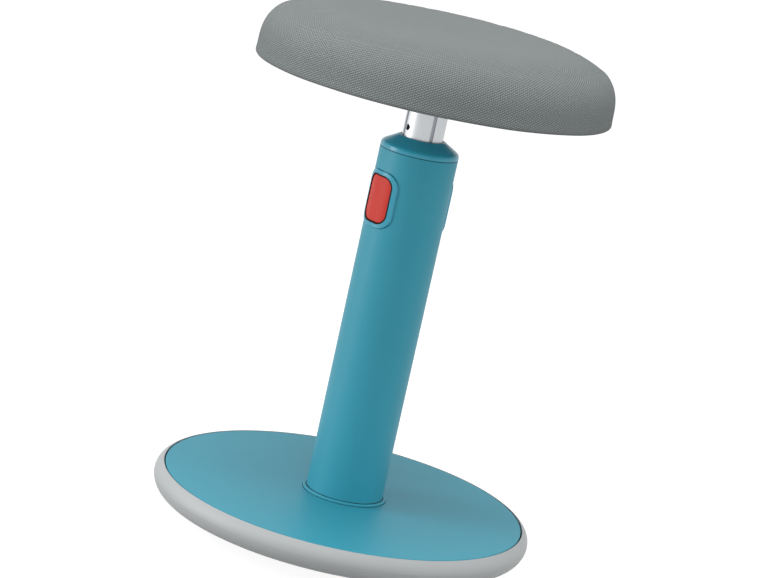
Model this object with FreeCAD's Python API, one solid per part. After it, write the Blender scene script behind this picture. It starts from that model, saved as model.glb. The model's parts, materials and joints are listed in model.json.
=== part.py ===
import FreeCAD, Part
import math
import os

# Wobble stool: a weighted rocking base, a fixed column and a seat on a gas lift.
# Millimetres, +Z up. The origin is the middle of the flat foot, on the floor.
# The release buttons face -X and +X.

V = FreeCAD.Vector
UP = V(0, 0, 1)

# How far a cutter runs past the face that it cuts
overshoot = 1.0

# Rocking base
base_diameter = 380.0
rocker_radius = 700.0
foot_radius = 60.0
rim_roll_radius = 15.5
rim_rise = 11.8
rim_width = 7.75
rim_gap = 1.5
sole_thickness = 6.0
pad_radius = 45.0
pad_thickness = 3.0
pad_fit = 0.3
bolt_access_radius = 20.0
ballast_margin = 30.75
ballast_fit = 0.5
cover_sheet = 1.5
cover_skirt = 8.0
cover_edge_round = 0.8
support_height = 17.8
support_wall = 3.0
support_rib_count = 12
support_socket_gap = 4.0
support_middle_radius = 118.0
support_edge_gap = 5.0
sole_screw_count = 6
sole_screw_radius = 2.0
sole_screw_head_radius = 5.0
sole_screw_head_height = 2.4
sole_screw_recess_room = 1.0
sole_screw_margin = 9.75
sole_screw_cover = 8.0
sole_screw_bite = 12.0
screw_boss_wall = 3.0

# Room round and past screws, wherever one goes through a piece or into it
screw_room = 0.3
screw_head_room = 0.2
screw_end_room = 1.0

# Column and what fastens it
column_diameter = 77.5
column_wall = 2.5
column_exposed = 352.4
socket_floor = 4.0
socket_wall = 5.0
socket_ring_height = 10.0
socket_bolt_count = 4
socket_bolt_radius = 4.0
socket_bolt_head_radius = 6.5
socket_bolt_head_height = 5.0
socket_bolt_margin = 9.2
socket_flange_margin = 9.0
socket_bolt_bite = 12.0
foot_plug_height = 28.0
column_bolt_radius = 6.0
column_bolt_head_height = 7.0
column_bolt_head_radius = 10.9
column_bolt_bite = 20.0
column_bolt_room = 0.5
washer_radius = 14.0
washer_thickness = 3.0
washer_room = 1.5
collar_ring_width = 3.45
collar_ring_height = 2.5
collar_ring_round = 1.1
cover_hole_clearance = 0.5

# Column cap
cap_height = 14.3
cap_shoulder_radius = 5.0
cap_slope_deg = 30.6
cap_mouth_clearance = 0.35
cap_mouth_wall = 4.0
cap_mouth_land = 2.4
cap_mouth_round = 0.4
seam_chamfer = 0.4
cap_skirt_wall = 3.0
cap_skirt_depth = 8.0
cap_rib_width = 2.4
cap_rib_height = 3.0
wiper_width = 3.7
wiper_height = 4.2

# Lift tube and gas spring
lift_stroke = 220.0
tube_diameter = 40.5
tube_wall = 2.5
tube_exposed = 49.9
tube_foot_gap = 2.0
groove_count = 4
groove_width = 3.6
groove_depth = 0.7
groove_start_deg = -13.0
running_clearance = 0.08
press_clearance = 0.05
stop_ring_width = 1.75
stop_ring_height = 8.0
stop_clearance = 0.3
bush_wall = 1.85
lower_bush_length = 16.0
upper_bush_length = 20.0
bush_flange_thickness = 1.5
spring_cylinder_radius = 14.0
spring_cylinder_wall = 1.5
spring_cylinder_end = 3.0
spring_stud_radius = 5.0
spring_stud_length = 14.0
spring_rod_radius = 5.0
piston_length = 12.0
piston_headroom = 4.0
end_guide_length = 20.0
spacer_height = 10.0
spacer_lift = 2.0
rod_nut_radius = 9.2
rod_nut_height = 6.0
bump_stop_radius = 12.0
bump_stop_height = 8.0
bump_stop_round = 1.5

# Release head at the column's foot
head_half_width = 12.0
head_half_length = 20.0
head_height = 28.0
head_base = 3.0
lever_slot_height = 13.0
lever_slot_clearance = 0.8
lever_thickness = 5.0
lever_height = 6.0
lever_headroom = 3.0
lever_boss_radius = 5.0
lever_inner_arm = 12.0
lever_outer_arm = 18.0
lever_inner_overhang = 3.5
lever_outer_overhang = 4.0
pivot_pin_radius = 2.0
release_pin_radius = 1.5
release_pin_length = 36.0
release_pin_travel = 2.0
release_pin_bore_end = 2.0
rest_gap = 0.3
head_screw_radius = 2.5
head_screw_head_radius = 4.2
head_screw_head_height = 4.0
head_screw_bite = 16.0
head_screw_y = -14.0

# Release buttons, their bezels and the collar that they drive
button_travel = 3.0
button_drop = 49.2
button_half_width = 16.4
button_half_height = 22.35
button_corner = 9.5
button_stand = 0.85
button_plate = 3.6
button_edge_round = 0.9
button_gap = 1.0
bezel_half_width = 22.2
bezel_half_height = 27.65
bezel_corner = 14.0
bezel_stand = 1.55
bezel_edge_round = 0.9
bezel_overlap = 2.2
bezel_recess = 0.8
bezel_gap = 0.35
bezel_neck_depth = 0.8
bezel_hook_half_width = 6.0
bezel_hook_reach = 2.0
bezel_hook_root = 1.0
cheek_thickness = 2.5
cheek_gap = 0.8
cheek_above_pin = 6.0
cheek_below_pin = 8.5
cheek_end_wall = 1.5
collar_pin_radius = 1.5
collar_pin_inset = 9.75
collar_pin_overhang = 0.5
release_ring_wall = 2.7
release_ring_height = 6.0
release_ring_drop = 16.5
lug_half_width = 8.2
lug_above_pin = 4.0
lug_beyond_pin = 2.5
ear_wall = 2.0
push_rod_radius = 2.5
return_spring_wire = 1.2
return_spring_turns = 5.0
return_spring_clearance = 1.0
housing_wall = 1.8
housing_fit = 0.1
housing_flange = 5.0
housing_foot_drop = 44.5
housing_top_flange_drop = 15.7
housing_sleeve_above = 4.3

# Seat
seat_diameter = 350.8
seat_wall_height = 15.0
crown_width = 53.0
crown_rise = 44.9
crown_power = 2.33
crown_steps = 8
seat_dish = 4.0
seat_bottom_round = 3.0
fabric_thickness = 2.5
fabric_turn_in = 17.5
foam_skirt = 4.9
pan_rim_depth = 6.0
pan_rim_width = 18.0
pan_thickness = 8.0
under_cover_thickness = 2.5
under_cover_gap = 0.4
under_cover_hole_gap = 3.5
mount_plate_radius = 80.0
mount_plate_thickness = 4.0
plate_bolt_radius = 5.0
plate_bolt_head_radius = 9.0
plate_bolt_head_height = 6.0
plate_bolt_bite = 30.0
pan_hole_clearance = 2.0
seat_screw_count = 4
seat_screw_circle_radius = 62.0
seat_screw_radius = 3.0
seat_screw_head_radius = 6.0
seat_screw_head_height = 1.7
insert_nut_radius = 4.5
insert_nut_sink = 0.5
seat_screw_sink = 1.0
under_screw_count = 4
under_screw_circle_radius = 120.0
under_screw_radius = 1.8
under_screw_head_radius = 3.8
under_screw_head_height = 1.2
under_screw_bite = 4.5
under_boss_radius = 5.0
set_screw_radius = 2.95
set_screw_length = 9.0
set_screw_recess = 1.6
set_screw_height = 9.2
set_screw_socket = 1.5
set_screw_socket_depth = 2.0
plug_below_screw = 11.0

# Radii of the column and of the socket round its foot
column_radius = column_diameter / 2
socket_upstand_bore = column_radius + press_clearance
socket_upstand_radius = socket_upstand_bore + socket_wall
socket_bolt_circle_radius = socket_upstand_radius + socket_bolt_margin
socket_flange_radius = socket_bolt_circle_radius + socket_flange_margin
support_inner_radius = socket_flange_radius + support_socket_gap

# Heights of the base, worked out from its rocking sole
rim_radius = base_diameter / 2
lip_radius = rim_radius - rim_width
deck_radius = lip_radius - rim_gap
roll_centre_r = rim_radius - rim_roll_radius
sphere_z = math.sqrt(rocker_radius ** 2 - foot_radius ** 2)
roll_centre_z = sphere_z - math.sqrt((rocker_radius - rim_roll_radius) ** 2 - roll_centre_r ** 2)
deck_z = roll_centre_z + rim_rise
inner_sphere_radius = rocker_radius - sole_thickness
sole_floor_z = sole_thickness
ballast_radius = deck_radius - ballast_margin
ballast_pocket_radius = ballast_radius + ballast_fit
support_top_z = deck_z - cover_sheet
ballast_top_z = support_top_z - support_height
support_outer_radius = deck_radius - cover_sheet - support_edge_gap
sole_screw_circle_radius = ballast_pocket_radius + sole_screw_margin

# Heights of the column
column_bore = column_radius - column_wall
column_bottom_z = ballast_top_z + socket_floor
column_top_z = deck_z + column_exposed
cap_top_z = column_top_z + cap_height
plug_top_z = column_bottom_z + foot_plug_height
button_z = column_top_z - button_drop

# Release head, from the foot plug upwards
head_top_z = plug_top_z + head_height
slot_floor_z = plug_top_z + head_base
rod_end_z = slot_floor_z + lever_slot_height
lever_top_z = rod_end_z - lever_headroom
lever_z = lever_top_z - lever_height / 2
push_rod_y = lever_inner_arm + lever_outer_arm
lever_swing_deg = math.degrees(button_travel / lever_outer_arm)
nut_top_z = head_top_z + rod_nut_height
bump_top_z = nut_top_z + bump_stop_height

# Seat heights
seat_radius = seat_diameter / 2
seat_z = cap_top_z + tube_exposed
crown_foot_z = seat_z + seat_wall_height
crown_inner_radius = seat_radius - crown_width
seat_top_z = crown_foot_z + crown_rise
pan_rim_z = seat_z + fabric_thickness
pan_z = pan_rim_z + pan_rim_depth
pan_top_z = pan_z + pan_thickness
plate_z = pan_z - mount_plate_thickness
pan_radius = seat_radius - fabric_thickness - foam_skirt

# Lift tube and gas spring
tube_radius = tube_diameter / 2
tube_bore = tube_radius - tube_wall
tube_bottom_z = head_top_z + tube_foot_gap
tube_top_z = plate_z
bush_bore = tube_radius + running_clearance
wiper_radius = bush_bore + wiper_width
sleeve_bore = bush_bore + bush_wall + press_clearance
sleeve_radius = sleeve_bore + housing_wall
lower_bush_z = tube_bottom_z + stop_ring_height + lift_stroke + stop_clearance
set_screw_z = cap_top_z + set_screw_height
top_plug_z = set_screw_z - plug_below_screw
cylinder_bottom_z = bump_top_z + rest_gap
cylinder_top_z = top_plug_z
cylinder_bore = spring_cylinder_radius - spring_cylinder_wall
piston_top_z = cylinder_top_z - spring_cylinder_end - piston_headroom
piston_z = piston_top_z - piston_length

# Guide housing and release collar
housing_z = button_z - housing_foot_drop
housing_floor_z = housing_z + housing_flange
top_flange_z = column_top_z - housing_top_flange_drop
sleeve_top_z = column_top_z + housing_sleeve_above
housing_radius = column_bore - housing_fit
upper_bush_top_z = sleeve_top_z + bush_flange_thickness
ring_bore = sleeve_radius + rest_gap
ring_radius = ring_bore + release_ring_wall
ring_z = button_z - release_ring_drop
ring_top_z = ring_z + release_ring_height
collar_pin_x = column_radius - collar_pin_inset
button_radius = column_radius + button_stand
button_back_radius = button_radius - button_plate
bezel_radius = column_radius + bezel_stand


def circle_points(count, radius, start_deg=0.0):
    """Points on a circle, evenly spaced."""
    step = 360.0 / count
    return [(radius * math.cos(math.radians(start_deg + step * k)),
             radius * math.sin(math.radians(start_deg + step * k))) for k in range(count)]


def rod(radius, z0, z1, x=0.0, y=0.0):
    """An upright cylinder from z0 to z1."""
    return Part.makeCylinder(radius, z1 - z0, V(x, y, z0), UP)


def ring(inner, outer, z0, z1, x=0.0, y=0.0):
    """An upright tube from z0 to z1."""
    return rod(outer, z0, z1, x, y).cut(rod(inner, z0 - overshoot, z1 + overshoot, x, y))


def block(x0, x1, y0, y1, z0, z1):
    """A box between two corners."""
    return Part.makeBox(x1 - x0, y1 - y0, z1 - z0, V(x0, y0, z0))


def hexagon(radius, z0, z1, x=0.0, y=0.0):
    """An upright six-sided prism, its corners at radius."""
    points = [V(x + px, y + py, z0) for px, py in circle_points(6, radius)]
    outline = Part.makePolygon(points + points[:1])
    return Part.Face(outline).extrude(V(0, 0, z1 - z0))


def fuse_all(shapes):
    """One solid out of touching solids."""
    first, rest = shapes[0], shapes[1:]
    return first.fuse(rest).removeSplitter() if rest else first


def line(a, b):
    """A straight edge of a turned outline, from (radius, height) to (radius, height)."""
    return Part.LineSegment(V(a[0], 0, a[1]), V(b[0], 0, b[1])).toShape()


def arc(centre, radius, from_deg, to_deg):
    """A round edge of a turned outline, about (radius, height)."""
    points = []
    for angle in (from_deg, (from_deg + to_deg) / 2, to_deg):
        a = math.radians(angle)
        points.append(V(centre[0] + radius * math.cos(a), 0, centre[1] + radius * math.sin(a)))
    return Part.Arc(*points).toShape()


def polyline(points):
    """Straight edges through the points of a turned outline."""
    return [line(a, b) for a, b in zip(points, points[1:])]


def turned(edges):
    """The solid that a closed outline sweeps about the column's axis."""
    face = Part.Face(Part.Wire(edges))
    solid = face.revolve(V(0, 0, 0), UP, 360)
    return Part.Solid(solid.Shells[0]) if solid.ShapeType != "Solid" else solid


def bent_at(edge_point, centre_z):
    """The angle of a point seen from a centre on the axis, in degrees."""
    return math.degrees(math.atan2(edge_point[1] - centre_z, edge_point[0]))


def sphere_height(radius, r):
    """Height of a rocking surface of this radius at the distance r from the axis."""
    return sphere_z - math.sqrt(radius ** 2 - r ** 2)


def flat_reach(radius, z):
    """Distance from the axis at which a rocking surface of this radius passes the height z."""
    return math.sqrt(radius ** 2 - (sphere_z - z) ** 2)


def edges_at(shape, test):
    """The edges whose middle passes the test."""
    found = []
    for edge in shape.Edges:
        middle = edge.valueAt((edge.FirstParameter + edge.LastParameter) / 2)
        if test(middle):
            found.append(edge)
    return found


# Base


def make_rocker_sole():
    """Grey moulded sole: flat foot, rocking dish, rolled rim and the ledge inside it."""
    tangent_angle = math.degrees(math.atan2(roll_centre_z - sphere_z, roll_centre_r))
    tangent = (rocker_radius * math.cos(math.radians(tangent_angle)),
               sphere_z + rocker_radius * math.sin(math.radians(tangent_angle)))
    foot_edge = (foot_radius, 0.0)
    shoulder_radius = ((rim_radius - lip_radius) ** 2 + rim_rise ** 2) / (2 * (rim_radius - lip_radius))
    shoulder_centre = (rim_radius - shoulder_radius, roll_centre_z)
    lip_angle = math.degrees(math.asin(rim_rise / shoulder_radius))
    floor_edge = (flat_reach(inner_sphere_radius, sole_floor_z), sole_floor_z)
    pocket_edge = (ballast_pocket_radius, sphere_height(inner_sphere_radius, ballast_pocket_radius))
    outline = polyline([floor_edge, (bolt_access_radius, sole_floor_z), (bolt_access_radius, pad_thickness),
                        (pad_radius, pad_thickness), (pad_radius, 0.0), foot_edge])
    outline.append(arc((0, sphere_z), rocker_radius,
                       bent_at(foot_edge, sphere_z), bent_at(tangent, sphere_z)))
    outline.append(arc((roll_centre_r, roll_centre_z), rim_roll_radius, tangent_angle, 0))
    outline.append(arc(shoulder_centre, shoulder_radius, 0, lip_angle))
    outline += polyline([(lip_radius, deck_z), (lip_radius, ballast_top_z),
                         (ballast_pocket_radius, ballast_top_z), pocket_edge])
    outline.append(arc((0, sphere_z), inner_sphere_radius,
                       bent_at(pocket_edge, sphere_z),
                       bent_at(floor_edge, sphere_z)))
    sole = turned(outline)
    recess_radius = sole_screw_head_radius + sole_screw_recess_room
    for x, y in sole_screw_places():
        sole = sole.cut(rod(recess_radius, 0.0, sole_screw_head_top(), x, y))
        sole = sole.cut(rod(sole_screw_radius + screw_room, 0.0, ballast_top_z + overshoot, x, y))
    return sole


def sole_screw_places():
    return circle_points(sole_screw_count, sole_screw_circle_radius, 180.0 / sole_screw_count)


def sole_screw_head_top():
    """Height at which each sole screw's head stops against the sole."""
    return sphere_height(rocker_radius, sole_screw_circle_radius) + sole_screw_cover - sole_screw_head_height


def make_foot_pad():
    """Non-slip pad let into the flat foot."""
    return rod(pad_radius - pad_fit, 0.0, pad_thickness)


def make_ballast_weight():
    """Cast weight that lies in the sole's dish, with a pocket below for the column bolt."""
    under_radius = inner_sphere_radius - ballast_fit
    flat_edge = (flat_reach(under_radius, sole_floor_z), sole_floor_z)
    rim_edge = (ballast_radius, sphere_height(under_radius, ballast_radius))
    outline = polyline([(0, sole_floor_z), flat_edge])
    outline.append(arc((0, sphere_z), under_radius,
                       bent_at(flat_edge, sphere_z), bent_at(rim_edge, sphere_z)))
    outline += polyline([rim_edge, (ballast_radius, ballast_top_z), (0, ballast_top_z), (0, sole_floor_z)])
    weight = turned(outline)
    weight = weight.cut(rod(washer_radius + washer_room, 0.0, washer_top_z()))
    weight = weight.cut(rod(column_bolt_radius + column_bolt_room, 0.0, ballast_top_z + overshoot))
    for x, y in socket_bolt_places():
        weight = weight.cut(rod(socket_bolt_radius + press_clearance,
                                ballast_top_z - socket_bolt_bite - screw_end_room,
                                ballast_top_z + overshoot, x, y))
    return weight


def washer_top_z():
    """Top of the washer under the column bolt, inside the weight's pocket."""
    return sole_floor_z + column_bolt_head_height + washer_thickness


def make_column_bolt():
    """Hexagon bolt from below, through the weight and into the foot plug."""
    head_top = washer_top_z() - washer_thickness
    head = hexagon(column_bolt_head_radius, head_top - column_bolt_head_height, head_top)
    shank = rod(column_bolt_radius, head_top, column_bottom_z + column_bolt_bite)
    return fuse_all([head, shank])


def make_column_bolt_washer():
    z1 = washer_top_z()
    return ring(column_bolt_radius + screw_room, washer_radius, z1 - washer_thickness, z1)


def make_cover_support():
    """Ribbed tray that carries the deck cover and takes the sole's screws."""
    z0, z1 = ballast_top_z, support_top_z
    inner, middle, outer = support_inner_radius, support_middle_radius, support_outer_radius
    wall_radii = (inner + support_wall, middle + support_wall, outer)
    parts = [ring(r - support_wall, r, z0, z1) for r in wall_radii]
    for k in range(support_rib_count):
        rib = block(inner + support_wall / 2, outer - support_wall / 2,
                    -support_wall / 2, support_wall / 2, z0, z1)
        rib.rotate(V(0, 0, 0), UP, 360.0 / support_rib_count * k + 180.0 / sole_screw_count)
        parts.append(rib)
    boss_radius = sole_screw_radius + screw_boss_wall
    for x, y in sole_screw_places():
        parts.append(rod(boss_radius, z0, z1, x, y))
    tray = fuse_all(parts)
    for x, y in sole_screw_places():
        tray = tray.cut(rod(sole_screw_radius + press_clearance, z0 - overshoot,
                            z0 + sole_screw_bite + screw_end_room, x, y))
    return tray


def make_sole_screws():
    """Screws up through the sole into the tray."""
    screws = []
    top = sole_screw_head_top()
    for x, y in sole_screw_places():
        head = rod(sole_screw_head_radius, top - sole_screw_head_height, top, x, y)
        shank = rod(sole_screw_radius, top, ballast_top_z + sole_screw_bite, x, y)
        screws.append(fuse_all([head, shank]))
    return Part.makeCompound(screws)


def make_base_cover():
    """Painted deck with a turned-down edge and a hole for the column."""
    top, bottom = deck_z, deck_z - cover_skirt
    r, hole = deck_radius, column_radius + cover_hole_clearance
    edge = cover_edge_round
    outline = polyline([(hole, support_top_z), (r - cover_sheet, support_top_z), (r - cover_sheet, bottom),
                        (r, bottom), (r, top - edge)])
    outline.append(arc((r - edge, top - edge), edge, 0, 90))
    outline += polyline([(r - edge, top), (hole, top), (hole, support_top_z)])
    return turned(outline)


# Column


def make_column_socket():
    """Flanged ring bolted to the weight; the column stands in it."""
    z0, z1 = ballast_top_z, column_bottom_z
    floor = ring(column_bolt_radius + column_bolt_room, socket_flange_radius, z0, z1)
    upstand = ring(socket_upstand_bore, socket_upstand_radius, z0, z1 + socket_ring_height)
    socket = fuse_all([floor, upstand])
    for x, y in socket_bolt_places():
        socket = socket.cut(rod(socket_bolt_radius + screw_room, z0 - overshoot, z1 + overshoot, x, y))
    return socket


def socket_bolt_places():
    return circle_points(socket_bolt_count, socket_bolt_circle_radius, 180.0 / socket_bolt_count)


def make_socket_bolts():
    bolts = []
    for x, y in socket_bolt_places():
        head = hexagon(socket_bolt_head_radius, column_bottom_z,
                       column_bottom_z + socket_bolt_head_height, x, y)
        shank = rod(socket_bolt_radius, ballast_top_z - socket_bolt_bite, column_bottom_z, x, y)
        bolts.append(fuse_all([head, shank]))
    return Part.makeCompound(bolts)


def make_column_collar():
    """Rounded trim ring where the column leaves the deck."""
    inner = column_radius + 2 * press_clearance
    shape = ring(inner, column_radius + collar_ring_width, deck_z, deck_z + collar_ring_height)
    crown = edges_at(shape, lambda p: abs(p.z - deck_z - collar_ring_height) < 0.01)
    return shape.makeFillet(collar_ring_round, crown)


def rounded_prism(half_y, half_z, corner, x0, x1):
    """A rounded rectangle about the button's middle, extruded along X."""
    y, z = half_y, half_z
    c = corner
    k = c * (1 - math.sqrt(0.5))

    def p(py, pz):
        return V(x0, py, button_z + pz)

    edges = [Part.LineSegment(p(-y + c, -z), p(y - c, -z)).toShape(),
             Part.Arc(p(y - c, -z), p(y - k, -z + k), p(y, -z + c)).toShape(),
             Part.LineSegment(p(y, -z + c), p(y, z - c)).toShape(),
             Part.Arc(p(y, z - c), p(y - k, z - k), p(y - c, z)).toShape(),
             Part.LineSegment(p(y - c, z), p(-y + c, z)).toShape(),
             Part.Arc(p(-y + c, z), p(-y + k, z - k), p(-y, z - c)).toShape(),
             Part.LineSegment(p(-y, z - c), p(-y, -z + c)).toShape(),
             Part.Arc(p(-y, -z + c), p(-y + k, -z + k), p(-y + c, -z)).toShape()]
    return Part.Face(Part.Wire(edges)).extrude(V(x1 - x0, 0, 0))


def window_prism(grow, x0, x1):
    """The opening in the column's wall for one button, grown or shrunk by a clearance."""
    return rounded_prism(bezel_half_width - bezel_overlap + grow, bezel_half_height - bezel_overlap + grow,
                         bezel_corner - bezel_overlap + grow, x0, x1)


def make_column_tube():
    """Painted outer tube with a window on each side for the buttons, sunk for the bezels."""
    tube = ring(column_bore, column_radius, column_bottom_z, column_top_z)
    rims = edges_at(tube, lambda p: math.hypot(p.x, p.y) > column_radius - 0.01
                    and p.z > column_top_z - 0.01)
    tube = tube.makeChamfer(seam_chamfer, rims)
    reach = 2 * column_radius
    recess = rounded_prism(bezel_half_width + bezel_gap, bezel_half_height + bezel_gap,
                           bezel_corner + bezel_gap, -reach, reach)
    recess = recess.cut(rod(column_radius - bezel_recess, housing_z, cap_top_z))
    return tube.cut(recess).cut(window_prism(0.0, -reach, reach))


def make_column_foot_plug():
    """Cast plug pressed into the column's foot; threaded for the bolt from below."""
    z0, z1 = column_bottom_z, plug_top_z
    plug = rod(column_bore - press_clearance, z0, z1)
    plug = plug.cut(rod(column_bolt_radius + press_clearance, z0 - overshoot,
                        z0 + column_bolt_bite + screw_end_room))
    for x, y in head_screw_places():
        plug = plug.cut(rod(head_screw_radius + press_clearance, z1 - head_screw_bite - screw_end_room,
                            z1 + overshoot, x, y))
    return plug


def make_column_cap():
    """Sloping cap with a rounded shoulder, a skirt inside the column and a mouth for the lift tube."""
    r, seam, top = column_radius, column_top_z, cap_top_z
    slope = math.radians(cap_slope_deg)
    lean = 90.0 - cap_slope_deg
    s = cap_shoulder_radius
    mouth = tube_radius + cap_mouth_clearance
    mouth_outer = mouth + cap_mouth_land
    end_r = r - s + s * math.sin(slope)
    end_z = top - (end_r - mouth_outer) * math.tan(slope)
    shoulder_z = end_z - s * math.cos(slope)
    skirt_outer = column_bore - 2 * press_clearance
    skirt_inner = skirt_outer - cap_skirt_wall
    ceiling_z = top - cap_mouth_wall
    rib_z = ceiling_z - cap_rib_height
    rib_inner = wiper_radius + press_clearance
    rib_outer = rib_inner + cap_rib_width
    skirt_top = rib_z - (skirt_inner - rib_outer) * math.tan(slope)
    outline = polyline([(r, seam + seam_chamfer), (r, shoulder_z)])
    outline.append(arc((r - s, shoulder_z), s, 0, lean))
    outline += polyline([(end_r, end_z), (mouth_outer, top), (mouth + cap_mouth_round, top),
                         (mouth, top - cap_mouth_round), (mouth, ceiling_z), (rib_inner, ceiling_z),
                         (rib_inner, rib_z), (rib_outer, rib_z),
                         (skirt_inner, skirt_top), (skirt_inner, seam - cap_skirt_depth),
                         (skirt_outer, seam - cap_skirt_depth), (skirt_outer, seam),
                         (r - seam_chamfer, seam), (r, seam + seam_chamfer)])
    return turned(outline)


def make_cap_wiper_ring():
    """Soft ring under the cap's mouth that wipes the lift tube."""
    z1 = cap_top_z - cap_mouth_wall
    return ring(bush_bore, wiper_radius, z1 - wiper_height, z1)


# Guide housing and release


def make_guide_housing():
    """Sleeve that guides the lift tube, held in the column by two flanges."""
    sleeve = ring(sleeve_bore, sleeve_radius, housing_z, sleeve_top_z)
    foot = ring(sleeve_bore, housing_radius, housing_z, housing_floor_z)
    head = ring(sleeve_bore, housing_radius, top_flange_z, top_flange_z + housing_flange)
    housing = fuse_all([sleeve, foot, head])
    return housing.cut(rod(push_rod_radius + screw_room, housing_z - overshoot, housing_floor_z + overshoot,
                           0.0, push_rod_y))


def make_lower_bush():
    """Plain bush; the tube's stop ring comes up against it at full height."""
    return ring(bush_bore, bush_bore + bush_wall, lower_bush_z, lower_bush_z + lower_bush_length)


def make_upper_bush():
    """Flanged bush with a key for each groove of the lift tube."""
    z1 = upper_bush_top_z
    z0 = z1 - upper_bush_length
    body = ring(bush_bore, bush_bore + bush_wall, z0, z1)
    flange = ring(bush_bore, sleeve_radius, sleeve_top_z, z1)
    parts = [body, flange]
    key_inner = tube_radius - groove_depth + running_clearance
    half = groove_width / 2 - running_clearance
    for k in range(groove_count):
        key = block(key_inner, bush_bore + bush_wall / 2, -half, half, z0, z1)
        key.rotate(V(0, 0, 0), UP, groove_start_deg + 360.0 / groove_count * k)
        parts.append(key)
    return fuse_all(parts)


def make_bezel(side):
    """Frame that snaps into the column's window round one button; side is -1 or 1."""
    far = 2 * column_radius
    opening = rounded_prism(button_half_width + button_gap, button_half_height + button_gap,
                            button_corner + button_gap, 0.0, far)
    z0, z1 = housing_z, cap_top_z
    flange = rounded_prism(bezel_half_width, bezel_half_height, bezel_corner, 0.0, far)
    flange = flange.common(ring(column_radius - bezel_recess + press_clearance, bezel_radius, z0, z1))
    rims = edges_at(flange, lambda p: math.hypot(p.x, p.y) > bezel_radius - 0.01)
    flange = flange.makeFillet(bezel_edge_round, rims)
    neck = window_prism(-2 * press_clearance, 0.0, far)
    neck_inner = column_bore - bezel_neck_depth
    neck = neck.common(ring(neck_inner, column_radius, z0, z1))
    frame = flange.fuse(neck).cut(opening)
    hook_outer = column_bore - press_clearance
    hook_z = bezel_half_height - bezel_overlap
    for up in (-1, 1):
        low = up * (hook_z - bezel_hook_root)
        high = up * (hook_z + bezel_hook_reach)
        hook = block(0.0, far, -bezel_hook_half_width, bezel_hook_half_width,
                     button_z + min(low, high), button_z + max(low, high))
        frame = frame.fuse(hook.common(ring(neck_inner, hook_outer, z0, z1)))
    frame = frame.removeSplitter()
    if side < 0:
        frame.rotate(V(0, 0, 0), UP, 180)
    return frame


def make_button(side):
    """One release button: a curved plate with two slotted cheeks behind it."""
    far = 2 * column_radius
    z0, z1 = housing_z, cap_top_z
    plate = rounded_prism(button_half_width, button_half_height, button_corner, 0.0, far)
    plate = plate.common(ring(button_back_radius, button_radius, z0, z1))
    rims = edges_at(plate, lambda p: math.hypot(p.x, p.y) > button_radius - 0.01)
    button = plate.makeFillet(button_edge_round, rims)
    slot_radius = collar_pin_radius + running_clearance
    cheek_inner = collar_pin_x - slot_radius - cheek_end_wall
    for up in (-1, 1):
        near = up * (lug_half_width + cheek_gap)
        wide = up * (lug_half_width + cheek_gap + cheek_thickness)
        cheek = block(cheek_inner, far, min(near, wide), max(near, wide),
                      button_z - cheek_below_pin, button_z + cheek_above_pin)
        cheek = cheek.common(rod((button_radius + button_back_radius) / 2, z0, z1))
        button = button.fuse(cheek)
    button = button.removeSplitter().cut(pin_slot(slot_radius))
    if side < 0:
        button.rotate(V(0, 0, 0), UP, 180)
    return button


def pin_slot(radius):
    """Slanted slot through a button's cheeks: pushing the button in by its travel drives the pin down."""
    reach = lug_half_width + cheek_gap + cheek_thickness + overshoot
    x0, z0 = collar_pin_x, button_z
    x1, z1 = x0 + button_travel, z0 - button_travel
    ends = [Part.makeCylinder(radius, 2 * reach, V(x, -reach, z), V(0, 1, 0))
            for x, z in ((x0, z0), (x1, z1))]
    d = radius * math.sqrt(0.5)
    corners = [V(x0 + d, -reach, z0 + d), V(x1 + d, -reach, z1 + d),
               V(x1 - d, -reach, z1 - d), V(x0 - d, -reach, z0 - d)]
    middle = Part.Face(Part.makePolygon(corners + corners[:1])).extrude(V(0, 2 * reach, 0))
    return middle.fuse(ends)


def make_release_collar():
    """Ring round the housing's sleeve, with a lug for each button's pin and an ear for the push rod."""
    body = ring(ring_bore, ring_radius, ring_z, ring_top_z)
    lug_end = collar_pin_x + lug_beyond_pin
    parts = [body]
    for side in (-1, 1):
        wide = side * lug_end
        parts.append(block(min(0.0, wide), max(0.0, wide), -lug_half_width, lug_half_width,
                           ring_z, button_z + lug_above_pin))
    parts.append(block(-push_rod_radius - ear_wall, push_rod_radius + ear_wall, 0.0,
                       push_rod_y + push_rod_radius + ear_wall, ring_z, ring_top_z))
    collar = fuse_all(parts)
    collar = collar.cut(rod(ring_bore, ring_z - overshoot, button_z + lug_above_pin + overshoot))
    collar = collar.cut(rod(push_rod_radius + press_clearance, ring_z - overshoot, ring_top_z + overshoot,
                            0.0, push_rod_y))
    reach = lug_half_width + overshoot
    for side in (-1, 1):
        hole = Part.makeCylinder(collar_pin_radius + press_clearance, 2 * reach,
                                 V(side * collar_pin_x, -reach, button_z), V(0, 1, 0))
        collar = collar.cut(hole)
    return collar


def make_collar_pins():
    """Cross pins that ride in the buttons' slanted slots."""
    reach = lug_half_width + cheek_gap + cheek_thickness + collar_pin_overhang
    pins = [Part.makeCylinder(collar_pin_radius, 2 * reach,
                              V(side * collar_pin_x, -reach, button_z), V(0, 1, 0)) for side in (-1, 1)]
    return Part.makeCompound(pins)


def tangent_arc(start, corner, end):
    """The round edge from start to end whose end tangents meet at the corner."""
    middle = (start + end) * 0.5
    half_chord = (end - start).Length / 2
    to_corner = corner - middle
    swing = math.atan2(to_corner.Length, half_chord)
    top = middle + to_corner * (half_chord * math.tan(swing / 2) / to_corner.Length)
    return Part.Arc(start, top, end).toShape()


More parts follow.
